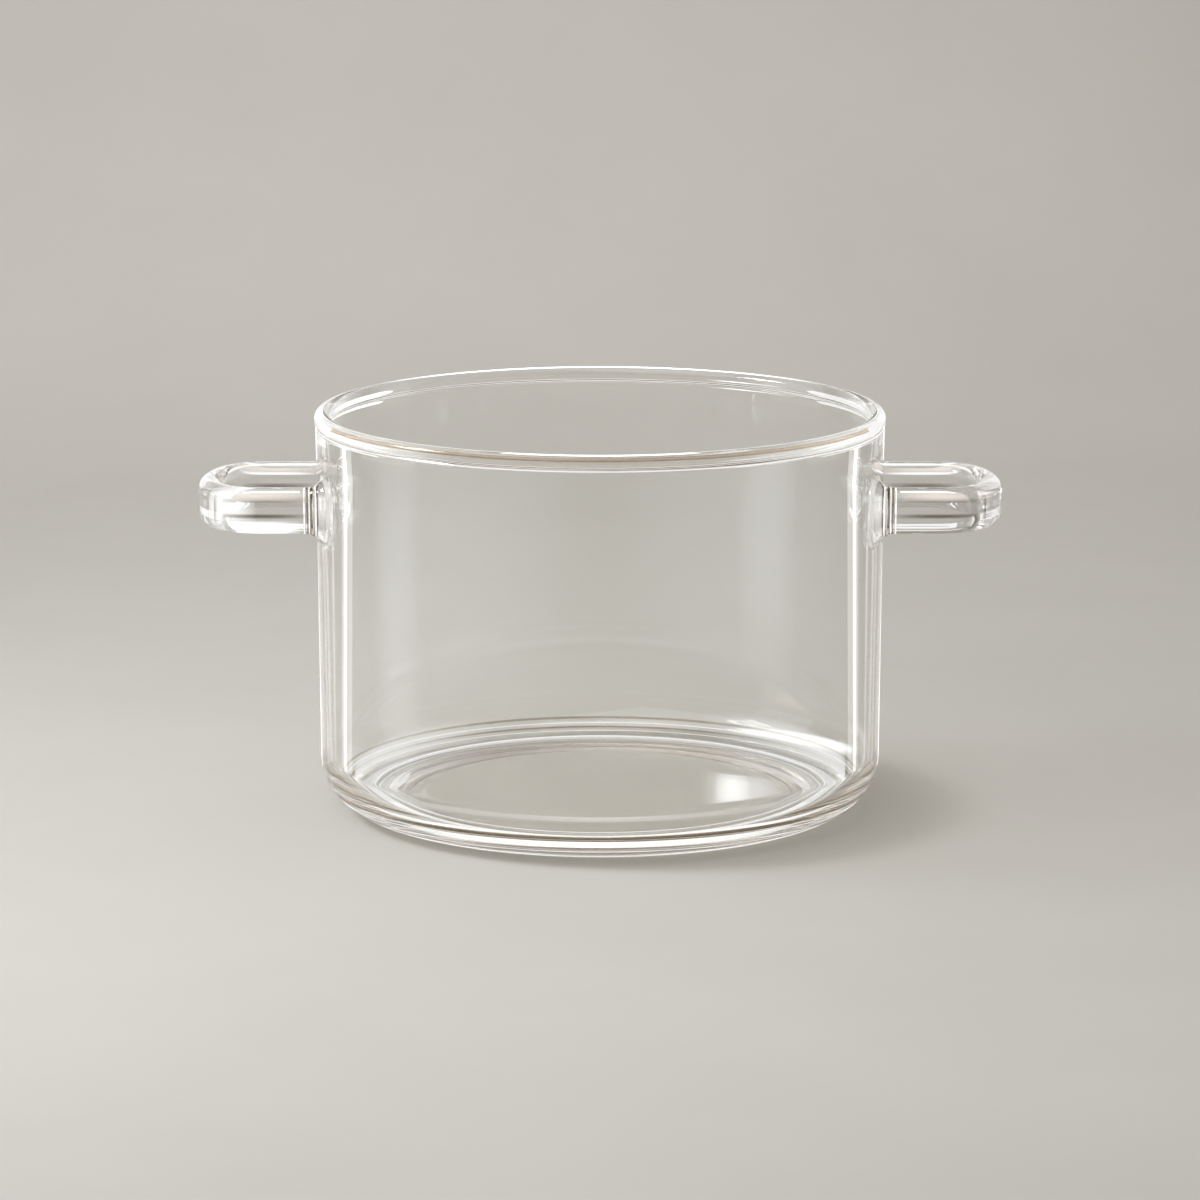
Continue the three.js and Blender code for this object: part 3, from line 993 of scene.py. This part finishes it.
@dataclass
class Studio:
    """The camera, the sweep of paper that the pot stands on, and the soft lights round it."""

    camera_distance: float = 1.4714
    camera_height: float = 0.3499
    camera_pitch: float = math.radians(11.212)
    focal_pixels: float = 5322.0
    image_pixels: float = 1200.0
    sensor: float = 36.0
    sight: float = 100.0
    floor_level: float = -0.3 * MM
    sweep_start: float = 0.5
    sweep_radius: float = 0.45
    sweep_steps: int = 24
    floor_half: float = 3.0
    wall_height: float = 2.5
    room_back: Colour = (0.80, 0.79, 0.77)
    room_front: Colour = (0.66, 0.57, 0.46)
    room_turn: float = 0.75
    room_strength: float = 0.42
    softboxes: tuple[Softbox, ...] = (
        Softbox("overhead_box", (-0.35, -0.32, 0.95), (0.0, -0.05, 0.0), (0.9, 0.8), 1.5),
        Softbox("key_box", (-0.8, 0.0, 0.75), (-0.03, -0.21, 0.0), (0.3, 0.3), 30.5, math.radians(70)),
        Softbox("left_box", (-1.2, 0.1, 0.5), (0.0, 0.0, 0.1), (0.8, 1.2), 1.0),
        Softbox("right_box", (1.2, 0.3, 0.5), (0.0, 0.0, 0.1), (0.6, 1.2), 0.7),
        Softbox("wash_box", (-0.1, 0.1, 1.3), (-0.1, 0.76, 0.06), (0.8, 0.4), 9.0, math.radians(66)),
        Softbox("back_rim_box", (0.0, 0.13, 0.0005), (0.0, 0.13, 1.0), (0.28, 0.08), 4.0, RIM_SPREAD, False),
        Softbox("front_rim_box", (0.0, 0.0, 0.0002), (0.0, 0.0, 1.0), (0.10, 0.05), 4.0, RIM_SPREAD, False),
    )
    cards: tuple[Card, ...] = (
        Card("left_panel", CardKind.BACK, (-0.40, -0.10), (0.055, 0.235), 1.35),
        Card("right_panel", CardKind.BACK, (0.10, 0.30), (0.055, 0.235), 1.0),
        # Bent cards in and just inside the glass paint soft highlights on the wall, the fillet, the welds
        # and the bead.
        Card.bent("left_sheen", (-141.0, -127.0), (0.0, 0.125), 1.0, 0.0757, 0.16),
        Card.bent("right_sheen", (32.0, 50.0), (0.02, 0.125), 1.0, 0.0757, 0.16),
        Card.bent("left_fillet_sheen", (-140.0, -28.0), (0.002, 0.012), 1.1, 0.0695, 0.55),
        Card.bent("right_fillet_sheen", (26.0, 130.0), (0.002, 0.014), 1.1, 0.0695, 0.65),
        Card.bent("left_front_glow", (-111.0, -100.5), WELD_SPAN, 1.15, 0.0788, 0.38),
        Card.bent("left_rear_glow", (-79.5, -69.0), WELD_SPAN, 1.15, 0.0788, 0.38),
        Card.bent("right_front_glow", (100.5, 111.0), WELD_SPAN, 1.15, 0.0788, 0.38),
        Card.bent("right_rear_glow", (69.0, 79.5), WELD_SPAN, 1.15, 0.0788, 0.38),
        Card.bent("left_rim_glow", (-150.0, -62.0), BEAD_SPAN, 1.25, 0.0777, 0.6),
        Card.bent("right_rim_glow", (62.0, 150.0), BEAD_SPAN, 1.25, 0.0777, 0.6),
        # Cards on the floor under and by the heel paint its rings of highlight and shade, and a glint in the
        # fillet.
        Card("heel_highlight", CardKind.FLOOR, (118.0, 242.0), HEEL_BAND, 1.3),
        Card("right_heel_highlight", CardKind.FLOOR, (100.0, 118.0), HEEL_BAND, 0.95),
        Card("left_heel_highlight", CardKind.FLOOR, (242.0, 260.0), HEEL_BAND, 0.95),
        Card("heel_pale_highlight", CardKind.FLOOR, (-100.0, 100.0), HEEL_BAND, 0.7),
        Card("heel_shade_a", CardKind.FLOOR, FRONT_HEEL, (0.0703, 0.0715), 0.9, DARK_REFLECTION_BROWN),
        Card("heel_light", CardKind.FLOOR, FRONT_HEEL, (0.0722, 0.0738), 1.25),
        Card("heel_shade_b", CardKind.FLOOR, FRONT_HEEL, (0.0753, 0.0766), 1.2, DARK_REFLECTION_BROWN),
        Card("back_heel_shade", CardKind.FLOOR, (-75.0, 75.0), (0.0709, 0.0720), 1.0, DIM),
        Card("foot_shade", CardKind.FLOOR, FRONT_HEEL, (0.0618, 0.0632), 1.0, DIM),
        Card("fillet_glint", CardKind.FLOOR, (27.0, 62.0), (0.0845, 0.0990), 1.7, duty=CardDuty.SHEEN,
             cover=1.2),
        # Faint painted highlights on the inside of the back wall.
        Card.bent("left_back_sheen", (-78.0, -4.0), BACK_SPAN, 1.0, 0.0756, 0.11),
        Card.bent("right_back_sheen", (4.0, 78.0), BACK_SPAN, 1.0, 0.0756, 0.08),
        Card("rim_low", CardKind.BACK, (-0.3, 0.3), (0.255, 0.28), 1.3, back_distance=0.68),
        Card("rim_dark", CardKind.BACK, (-0.12, 0.12), (0.29, 0.355), 0.8, DARK_REFLECTION_BROWN, back_distance=0.68),
        Card("rim_high", CardKind.BACK, (-0.3, 0.3), (0.375, 0.41), 1.4, back_distance=0.68),
        Card("window_soft", CardKind.BACK, (0.044, 0.086), (0.104, 0.140), 1.3, duty=CardDuty.SHEEN),
        Card("window_core", CardKind.BACK, (0.050, 0.068), (0.108, 0.136), 2.2, duty=CardDuty.SHEEN,
             back_distance=0.498, cover=0.9),
    )
    wall_lines: tuple[WallLine, ...] = (
        WallLine("edge_line", EDGE_STRIP, WALL_SPAN, 2.4, duty=CardDuty.LAMP),
        WallLine("mid_line", MID_STRIP, WALL_SPAN, 2.4, duty=CardDuty.LAMP),
        WallLine("top_edge", EDGE_STRIP, TOP_SPAN, 2.4, duty=CardDuty.LAMP),
        WallLine("top_line", MID_STRIP, TOP_SPAN, 2.4, duty=CardDuty.LAMP),
        WallLine("inner_line", (0.0719, 0.0729), (-0.025, 0.105), 1.0, duty=CardDuty.LAMP, depth=0.0),
        WallLine("inner_soft", (0.0704, 0.0737), (-0.030, 0.110), 0.35, duty=CardDuty.LAMP, depth=0.001),
        # Lines inside the handles' necks and straps: the lit ones paint highlights, the tinted ones dark
        # reflections.
        WallLine("neck_highlight_a", (0.0810, 0.0814), (0.0800, 0.0955), 1.3, depth=NECK_DEPTH),
        WallLine("neck_dark_reflection_a", (0.0802, 0.0807), (0.0798, 0.0957), 0.0, NECK_DARK_REFLECTION, CardDuty.FILTER,
                 depth=NECK_DEPTH),
        WallLine("neck_highlight_b", (0.0795, 0.0799), (0.0796, 0.0959), 1.3, depth=NECK_DEPTH),
        WallLine("neck_dark_reflection_b", (0.0785, 0.0792), (0.0793, 0.0962), 0.0, NECK_DARK_REFLECTION, CardDuty.FILTER,
                 depth=NECK_DEPTH),
        WallLine("neck_highlight_c", (0.0777, 0.0782), (0.0788, 0.0966), 1.3, depth=NECK_DEPTH),
        WallLine("neck_dark_reflection_c", (0.0766, 0.0773), (0.0784, 0.0970), 0.0, NECK_DARK_REFLECTION, CardDuty.FILTER,
                 depth=NECK_DEPTH),
        WallLine("grip_top", (0.0830, 0.1060), (0.0929, 0.0936), 1.3, depth=-0.0235, slope=0.0),
        WallLine("far_grip_top", (0.0800, 0.1060), (0.0930, 0.0936), 1.2, depth=0.0200, slope=0.0),
        WallLine("grip_low", (0.0820, 0.1085), (0.0810, 0.0853), 1.3, duty=CardDuty.SHEEN, cover=1.3,
                 depth=-0.0225, slope=0.0, sides=LEFT_ONLY),
        WallLine("bend_glow", (0.0950, 0.1110), (0.0822, 0.0936), 1.3, duty=CardDuty.SHEEN, cover=0.75,
                 depth=-0.0170, slope=0.0, sides=LEFT_ONLY),
        WallLine("bend_shade", (0.1058, 0.1092), (0.0832, 0.0925), 0.0, (0.40, 0.38, 0.35), CardDuty.SMEAR,
                 depth=-0.0190, slope=0.0),
        # Bands that paint the beige paper's reflection along the tops of the straps.
        WallLine("grip_beige_reflection", (0.0810, 0.1070), (0.0905, 0.0932), 0.85, REFLECTED_BEIGE, CardDuty.SHEEN,
                 depth=-0.0230, slope=0.0),
        WallLine("far_beige_reflection", (0.0790, 0.1070), (0.0910, 0.0940), 0.85, REFLECTED_BEIGE, CardDuty.SHEEN,
                 depth=0.0185, slope=0.0),
        WallLine("far_line", FAR_STRAP_RUN, (0.0908, 0.0916), 1.3, duty=CardDuty.SHEEN, depth=0.0184,
                 slope=0.0),
        WallLine("far_shade", FAR_STRAP_RUN, (0.0868, 0.0886), 0.0, (0.45, 0.42, 0.38), CardDuty.SMEAR,
                 depth=0.0184, slope=0.0),
        WallLine("grip_dark_reflection", STRAP_RUN, (0.0856, 0.0870), 0.0, (0.28, 0.24, 0.20), CardDuty.SMEAR,
                 depth=NECK_DEPTH, slope=0.0),
        WallLine("grip_edge_dark_reflection", STRAP_RUN, (0.0899, 0.0912), 0.0, (0.55, 0.51, 0.46), CardDuty.SMEAR,
                 depth=NECK_DEPTH, slope=0.0),
    )
    # Threads paint highlight lines, lit, and dark reflection lines, tinted, in the rim, floor and heel.
    threads: tuple[Thread, ...] = (
        # Painted warm dark reflection along the front of the bead.
        Thread("rim_amber_reflection", (112.0, 248.0), 0.07924, 0.11165, 1.0 * MM, (0.80, 0.71, 0.61)),
        Thread("rim_top_line", FULL_TURN, 0.0777, 0.11275, 0.28 * MM, WHITE, CardDuty.LIGHT, 1.15),
        Thread("front_bead_line", FRONT_BEAD, 0.0796, 0.1086, 0.25 * MM, WHITE, CardDuty.LIGHT, 1.1),
        Thread("front_bead_dim", FRONT_BEAD, 0.0796, 0.1091, 0.30 * MM, (0.74, 0.71, 0.66)),
        Thread("back_bead_line", (-105.0, 105.0), 0.0758, 0.1087, 0.22 * MM, WHITE, CardDuty.LIGHT, 0.95),
        Thread("floor_line", FULL_TURN, 0.0642, 0.0048, 0.35 * MM, WHITE, CardDuty.LIGHT, 0.95),
        Thread("foot_line", FULL_TURN, 0.0630, 0.0014, 0.30 * MM, WHITE, CardDuty.LIGHT, 0.9),
        # Rings of painted dark reflection and painted highlight in the heel.
        Thread("heel_line_dark_reflection_a", FULL_TURN, 0.0753, 0.0075, 0.8 * MM, HEEL_DARK_REFLECTION),
        Thread("heel_line_highlight_b", FULL_TURN, 0.0742, 0.0059, 0.30 * MM, WHITE, CardDuty.LIGHT, 1.0),
        Thread("heel_line_dark_reflection_c", FULL_TURN, 0.0729, 0.0047, 0.8 * MM, HEEL_DARK_REFLECTION),
        Thread("heel_line_highlight_d", FULL_TURN, 0.0715, 0.0036, 0.28 * MM, WHITE, CardDuty.LIGHT, 1.0),
        Thread("floor_dim", FULL_TURN, 0.0636, 0.0032, 0.6 * MM, (0.88, 0.865, 0.84)),
    )

    def place_camera(self) -> None:
        """Sets the camera at the photograph's view."""
        deselect_all()
        bpy.ops.object.camera_add(location=(0.0, -self.camera_distance, self.camera_height),
                                  rotation=(QUARTER - self.camera_pitch, 0.0, 0.0))
        camera = bpy.context.object
        camera.name = "camera"
        camera.data.sensor_width = self.sensor
        camera.data.lens = self.sensor * self.focal_pixels / self.image_pixels
        camera.data.clip_end = self.sight
        bpy.context.scene.camera = camera

    def lay_sweep(self) -> None:
        """Lays the floor and turns its far edge up into the backdrop."""
        deselect_all()
        bpy.ops.mesh.primitive_plane_add(size=1.0)
        sweep = bpy.context.object
        sweep.name = "paper_sweep"
        depth = self.sweep_start + self.floor_half
        with edit_mode(sweep, "EDGE"):
            bpy.ops.transform.resize(value=(2 * self.floor_half, depth, 1.0), center_override=ORIGIN)
            bpy.ops.transform.translate(value=(0.0, self.sweep_start - depth / 2, self.floor_level))
        far = self.sweep_start - MM
        pick_edges(sweep, lambda first, second: min(first.y, second.y) > far)
        take(sweep)
        bpy.ops.object.mode_set(mode="EDIT")
        bpy.ops.mesh.spin(steps=self.sweep_steps, angle=-QUARTER, axis=(1, 0, 0),
                          center=(0.0, self.sweep_start, self.floor_level + self.sweep_radius))
        bpy.ops.mesh.extrude_edges_move(TRANSFORM_OT_translate={"value": (0.0, 0.0, self.wall_height)})
        bpy.ops.object.mode_set(mode="OBJECT")
        take(sweep)
        bpy.ops.object.shade_smooth()
        sweep.data.materials.append(StudioPaper().make())

    def light(self) -> None:
        """Hangs the softboxes and fills the room, which is brown and dim behind the camera."""
        world = bpy.data.worlds.new("room")
        bpy.context.scene.world = world
        shader = Shader(world)
        way = shader.node("ShaderNodeTexCoord")["Generated"]
        parts = shader.node("ShaderNodeSeparateXYZ", None, {"Vector": way})
        front = (0.0 - parts["Y"]).larger(0.0)
        colour = shader.node("ShaderNodeValToRGB", {
            "stops": [(0.0, self.room_back), (self.room_turn, self.room_front)]}, {"Fac": front})["Color"]
        back = shader.node("ShaderNodeBackground", None, {"Color": colour, "Strength": self.room_strength})
        shader.node("ShaderNodeOutputWorld", None, {"Surface": back["Background"]})
        for softbox in self.softboxes:
            softbox.hang()

    def set_cards(self) -> None:
        """Sets up the cards, lines and threads, most of which paint highlights and dark reflections in the
        glass.
        """
        for item in (*self.cards, *self.wall_lines, *self.threads):
            item.build()


def main() -> None:
    """Builds the studio and the pot."""
    logging.basicConfig(level=logging.INFO, format="%(name)s: %(message)s")
    scene = bpy.context.scene
    scene.view_settings.view_transform = "Standard"
    scene.cycles.max_bounces = GLASS_BOUNCES
    scene.cycles.transmission_bounces = GLASS_BOUNCES
    scene.cycles.glossy_bounces = GLASS_BOUNCES
    scene.cycles.transparent_max_bounces = CLEAR_BOUNCES
    studio = Studio()
    studio.place_camera()
    studio.lay_sweep()
    studio.light()
    studio.set_cards()
    pot = GlassPot.from_frame()
    pot.dress(pot.build())


if __name__ == "__main__":
    main()
